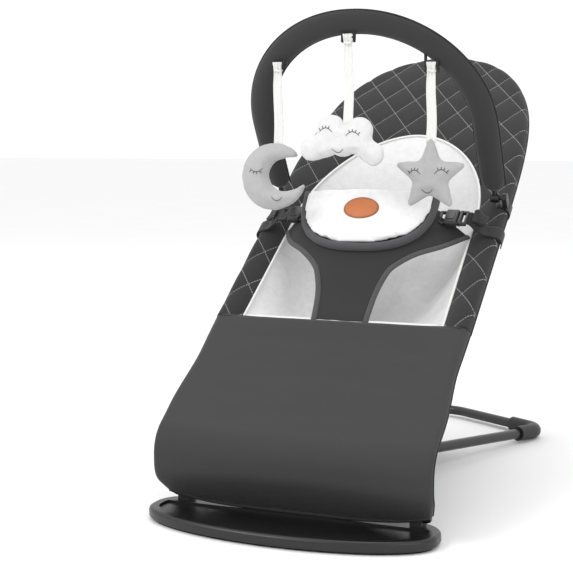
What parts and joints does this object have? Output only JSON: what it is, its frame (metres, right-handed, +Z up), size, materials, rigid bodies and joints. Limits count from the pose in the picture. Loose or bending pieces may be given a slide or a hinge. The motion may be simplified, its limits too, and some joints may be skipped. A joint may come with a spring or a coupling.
{
  "type": "bouncer seat",
  "caption": "Reclining baby bouncer seat with a quilted fabric seat, padded bib, folding floor frame and a tilting bar of hanging soft toys.",
  "frame": {"origin": "on the floor, below the middle of the whole length and width", "axes": "+Z up, +Y from the feet to the head, +X to the right seen from the front"},
  "size_m": [0.394, 0.8414, 0.6765],
  "materials": {
    "plate_plastic": "fine moulded grain",
    "sole_rubber": "matte",
    "black_plastic": "satin moulded",
    "rail_steel": "black powder coat",
    "tube_steel": "satin black paint",
    "foot_plastic": "soft moulded",
    "wire_steel": "dark spring steel",
    "bright_steel": "plated",
    "quilted_fabric": "dark woven cotton, diamond quilted",
    "lower_fabric": "dark woven cotton",
    "liner_fabric": "light grey jersey",
    "bib_fabric": "white padded jersey",
    "patch_leather": "tan leather, stitched edge",
    "buckle_plastic": "moulded",
    "webbing": "black woven tape",
    "bar_core_steel": "black coated spring rod",
    "bar_fabric": "dark padded cotton",
    "moon_fabric": "grey plush",
    "cloud_fabric": "light plush",
    "star_fabric": "grey plush",
    "ribbon": "white woven ribbon"
  },
  "bodies": {
    "base": {"base_plate": "plate_plastic", "base_sole": "sole_rubber", "wire_socket_left": "black_plastic", "wire_socket_right": "black_plastic", "floor_rail_left": "rail_steel", "floor_rail_right": "rail_steel", "rail_bridge": "black_plastic", "rail_rivets": "bright_steel", "catch_tab": "black_plastic", "leg_pin_left": "bright_steel", "leg_pin_right": "bright_steel"},
    "rear_leg": {"rear_leg": "tube_steel", "foot_sleeve_left": "foot_plastic", "foot_sleeve_right": "foot_plastic"},
    "lower_frame": {"spring_wire_left": "wire_steel", "spring_wire_right": "wire_steel", "spigot_left": "bright_steel", "spigot_right": "bright_steel", "support_hoop": "tube_steel", "hoop_clamp_left": "black_plastic", "hoop_clamp_right": "black_plastic", "hoop_collars": "bright_steel", "front_panel": "lower_fabric"},
    "prop": {"prop_arm_left": "rail_steel", "prop_arm_right": "rail_steel", "prop_rod": "wire_steel"},
    "latch": {"latch_block": "black_plastic"},
    "seat": {"seat_hoop": "tube_steel", "edge_sleeve": "quilted_fabric", "back_panel": "quilted_fabric", "lower_panel": "lower_fabric", "seat_liner": "liner_fabric", "crotch_column": "lower_fabric", "bib_panel": "bib_fabric", "bib_patch": "patch_leather", "bib_wing_left": "bib_fabric", "bib_wing_right": "bib_fabric", "buckle_socket_left": "buckle_plastic", "buckle_socket_right": "buckle_plastic", "bar_clamp_left": "black_plastic", "bar_clamp_right": "black_plastic"},
    "buckle_left": {"buckle_plug_left": "buckle_plastic", "side_strap_left": "webbing"},
    "buckle_right": {"buckle_plug_right": "buckle_plastic", "side_strap_right": "webbing"},
    "toy_bar": {"bar_core": "bar_core_steel", "bar_pad": "bar_fabric", "toy_loops": "webbing"},
    "moon": {"toy_moon": "moon_fabric", "ribbon_moon": "ribbon"},
    "cloud": {"toy_cloud": "cloud_fabric", "ribbon_cloud": "ribbon"},
    "star": {"toy_star": "star_fabric", "ribbon_star": "ribbon"}
  },
  "joints": [
    {"name": "recline", "type": "hinge", "parent": "base", "child": "lower_frame", "pos_m": [0, -0.31075, 0.024], "axis": [1, 0, 0], "range_deg": [-18, 0]},
    {"name": "prop_swing", "type": "hinge", "parent": "lower_frame", "child": "prop", "pos_m": [0, -0.07075, 0.185], "axis": [1, 0, 0], "range_deg": [0, 55]},
    {"name": "latch_turn", "type": "hinge", "parent": "prop", "child": "latch", "pos_m": [0, 0.01765, 0.0305], "axis": [1, 0, 0], "range_deg": [0, 20], "stiffness_Nm_per_rad": 0.05},
    {"name": "bounce", "type": "hinge", "parent": "lower_frame", "child": "seat", "pos_m": [0, -0.21663, 0.20009], "axis": [1, 0, 0], "range_deg": [-4, 4], "stiffness_Nm_per_rad": 150, "springref_deg": 2.18},
    {"name": "leg_fold", "type": "hinge", "parent": "base", "child": "rear_leg", "pos_m": [0, 0.00925, 0.0305], "axis": [1, 0, 0], "range_deg": [-165, 0]},
    {"name": "buckle_left_release", "type": "slide", "parent": "seat", "child": "buckle_left", "axis": [-1, 0, 0], "range_m": [0, 0.016]},
    {"name": "buckle_right_release", "type": "slide", "parent": "seat", "child": "buckle_right", "axis": [1, 0, 0], "range_m": [0, 0.016]},
    {"name": "toy_bar_tilt", "type": "hinge", "parent": "seat", "child": "toy_bar", "pos_m": [0, 0.04346, 0.41258], "axis": [1, 0, 0], "range_deg": [-8, 8]},
    {"name": "moon_swing", "type": "hinge", "parent": "toy_bar", "child": "moon", "pos_m": [-0.1185, -0.09416, 0.60356], "axis": [1, 0, 0], "range_deg": [-25, 3]},
    {"name": "cloud_swing", "type": "hinge", "parent": "toy_bar", "child": "cloud", "pos_m": [-0.005, -0.11327, 0.63887], "axis": [1, 0, 0], "range_deg": [-25, 3]},
    {"name": "star_swing", "type": "hinge", "parent": "toy_bar", "child": "star", "pos_m": [0.108, -0.08738, 0.59933], "axis": [1, 0, 0], "range_deg": [-25, 3]}
  ],
  "couplings": [
    {"joint": "prop_swing", "follows": "recline", "ratio": -3}
  ]
}
